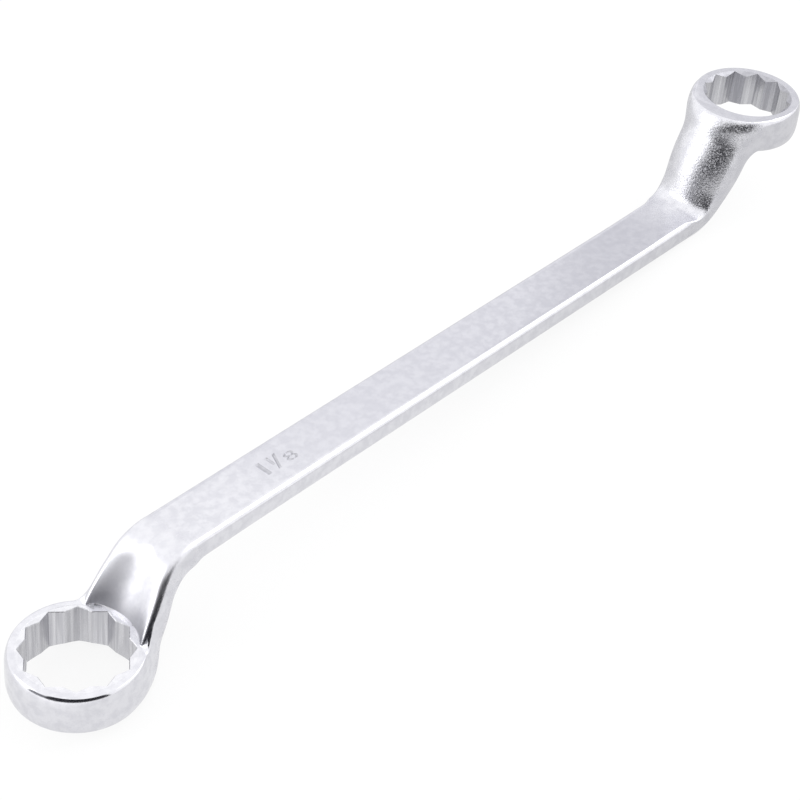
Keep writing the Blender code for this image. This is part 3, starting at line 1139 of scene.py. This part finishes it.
@dataclass(frozen=True)
class Card:
    """A curved glowing card, part of the way round the spanner, a painted reflection for the metal to
    mirror. It lights nothing else.
    """

    name: str
    azimuth: float
    spread: float
    high: float
    tint: str
    low: float = 0
    distance: float = 1.2
    columns: int = 48
    rows: int = 12

    def build(self) -> None:
        """Stands the card up: a grid of azimuth by elevation on a ball about the spanner's middle."""
        half = self.spread / 2
        turn = np.radians(np.linspace(self.azimuth - half, self.azimuth + half, self.columns))
        rise = np.radians(np.linspace(self.low, self.high, self.rows))
        turn, rise = np.meshgrid(turn, rise)
        ball = np.stack([np.cos(rise) * np.cos(turn), np.cos(rise) * np.sin(turn), np.sin(rise)], axis=-1)
        mesh = bpy.data.meshes.new(self.name)
        faces = grid_faces(numbered(ball, closed=False))
        mesh.from_pydata((self.distance * ball).reshape(-1, 3).tolist(), [], faces)
        material = bpy.data.materials.new(self.name)
        tree = empty_tree(material)
        glow = add_node(tree, "Emission", {"Color": colour(self.tint), "Strength": 1})[0]
        add_node(tree, "OutputMaterial", {"Surface": glow})
        mesh.materials.append(material)
        card = add_object(self.name, mesh)
        card.visible_camera = card.visible_diffuse = card.visible_shadow = False


@dataclass(frozen=True)
class Floor:
    """The pale floor: white to the camera and in reflections, but for the spanner's faint shadow."""

    half_width: float = 4
    tint: str = "#F2F2F2"
    glow: float = 1.0
    mirrored_glow: float = 0.92
    left_glow: float = 1.3
    left_from: float = -0.18
    left_to: float = -0.3
    far_glow_share: float = 0.79
    far_from: float = -0.02
    far_to: float = 0.14
    glow_share: float = 0.85

    def material(self) -> Material:
        """Paints the floor, and gives it a glow where it is seen or mirrored.

        The mirrored glow is painted reflection, seen only in the metal: it rises to the left of the near
        ring, and falls towards the far end.

        Returns:
            The material.
        """
        material = bpy.data.materials.new("pale_floor")
        tree = empty_tree(material)
        rays = add_node(tree, "LightPath")
        camera_ray = seen = rays["Is Camera Ray"]
        for ray in ("Is Glossy Ray", "Is Transmission Ray"):
            seen = add_node(tree, "Math", {0: seen, 1: rays[ray]}, operation="MAXIMUM")[0]
        share = add_node(tree, "Math", {0: seen, 1: self.glow_share}, operation="MULTIPLY")[0]
        paint = add_node(tree, "BsdfDiffuse", {"Color": colour(self.tint)})[0]

        # Painted reflection: the floor glows brighter to the left of the near ring and dimmer towards the
        # far end, for mirrored rays only
        across = add_node(tree, "SeparateXYZ", {0: add_node(tree, "TexCoord")["Object"]})["X"]
        left = between(across, (self.left_to, self.left_from), (self.left_glow, self.mirrored_glow))
        far = between(across, (self.far_from, self.far_to), (1, self.far_glow_share))
        factors = {place: add_node(tree, "MapRange", inputs)[0] for place, inputs in enumerate((left, far))}
        mirrored = add_node(tree, "Math", factors, operation="MULTIPLY")[0]
        strength = add_node(tree, "MapRange", between(camera_ray, (0, 1), (mirrored, self.glow)))[0]
        glow = add_node(tree, "Emission", {"Strength": strength})[0]
        mixed = add_node(tree, "MixShader", {0: share, 1: paint, 2: glow})[0]
        add_node(tree, "OutputMaterial", {"Surface": mixed})
        return material

    def build(self) -> None:
        """Lays the floor under the spanner."""
        reach = self.half_width
        corners = [(-reach, -reach, 0), (reach, -reach, 0), (reach, reach, 0), (-reach, reach, 0)]
        mesh = bpy.data.meshes.new("floor")
        mesh.from_pydata(corners, [], [(0, 1, 2, 3)])
        mesh.materials.append(self.material())
        add_object("floor", mesh)


@dataclass(frozen=True)
class Camera:
    """The photograph's camera, above the near ring and to its left."""

    eye: tuple[float, float, float] = (-0.38698, -0.315853, 0.466847)
    turn_degrees: tuple[float, float, float] = (46.8808, -0.5335, -48.4717)
    lens: float = 94.938
    sensor: float = 36
    clip: tuple[float, float] = (0.01, 20)

    def build(self) -> None:
        """Sets the camera up and makes it the scene's own."""
        data = bpy.data.cameras.new("camera")
        data.lens, data.sensor_width = self.lens, self.sensor
        data.clip_start, data.clip_end = self.clip
        camera = add_object("camera", data)
        camera.location = self.eye
        camera.rotation_euler = [radians(angle) for angle in self.turn_degrees]
        bpy.context.scene.camera = camera


@dataclass(frozen=True)
class Studio:
    """The pale room round the spanner: floor, cards, soft boxes, even surroundings and camera."""

    floor: Floor
    cards: tuple[Card, ...]
    lamps: tuple[SoftBox, ...]
    camera: Camera
    surroundings: float

    def build(self) -> None:
        """Sets the whole studio up."""
        for thing in (self.floor, *self.cards, *self.lamps, self.camera):
            thing.build()
        world = bpy.data.worlds.new("surroundings")
        tree = empty_tree(world)
        camera_ray = add_node(tree, "LightPath")["Is Camera Ray"]
        strength = add_node(tree, "MapRange", between(camera_ray, (0, 1), (self.surroundings, 1)))["Result"]
        glow = add_node(tree, "Background", {"Color": (1, 1, 1, 1), "Strength": strength})[0]
        add_node(tree, "OutputWorld", {"Surface": glow})
        bpy.context.scene.world = world
        bpy.context.scene.view_settings.view_transform = "Standard"


BAR = Bar()

SPANNER = Forging(
    bar=BAR,
    near=RingEnd(
        "near", side=-1, nut=0.028575, drop=0.0257, height=0.01375, point_turn=radians(47.1), bar=BAR
    ),
    far=RingEnd(
        "far", side=1, nut=0.0269875, drop=0.03035, height=0.0128, point_turn=radians(50.5), bar=BAR
    ),
    marks=(
        SizeNumber("near_size_mark", "1", "1", "8", start=-0.0882, baseline=-0.0027),
        SizeNumber("far_size_mark", "1", "1", "16", start=-0.0882, baseline=-0.0027, below=True),
    ),
)

STUDIO = Studio(
    floor=Floor(),
    cards=(
        # Glowing cards seen only in the metal, as painted reflections: dark on the camera's side, grey
        # beyond the near ring, and pale beyond the far ring
        Card("dark_card", azimuth=-135, spread=82, high=45, tint="#303034"),
        Card("middle_card", azimuth=172, spread=24, high=22, tint="#8C8C90"),
        Card("pale_card", azimuth=46, spread=33, high=39, tint="#FCFCFF"),
        Card("far_card", azimuth=13.5, spread=32, high=39, tint="#E7E7EB"),
    ),
    lamps=(
        SoftBox("soft_box_right", azimuth=-25, elevation=42, width=0.8, height=0.8),
        SoftBox("soft_box_left", azimuth=146, elevation=24, width=0.6, height=1.0),
    ),
    camera=Camera(),
    surroundings=1.2,
)


def main() -> None:
    """Builds the spanner and the studio, and logs how the spanner lies."""
    logging.basicConfig(level=logging.INFO, format="%(message)s")
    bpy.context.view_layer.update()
    lie = Lie.of_packed(frame["record"], BAR.thickness / 2)
    log.info("lean: %.3f degrees, origin: %s", degrees(lie.lean), lie.origin)
    SPANNER.build(lie)
    STUDIO.build()


if __name__ == "__main__":
    main()
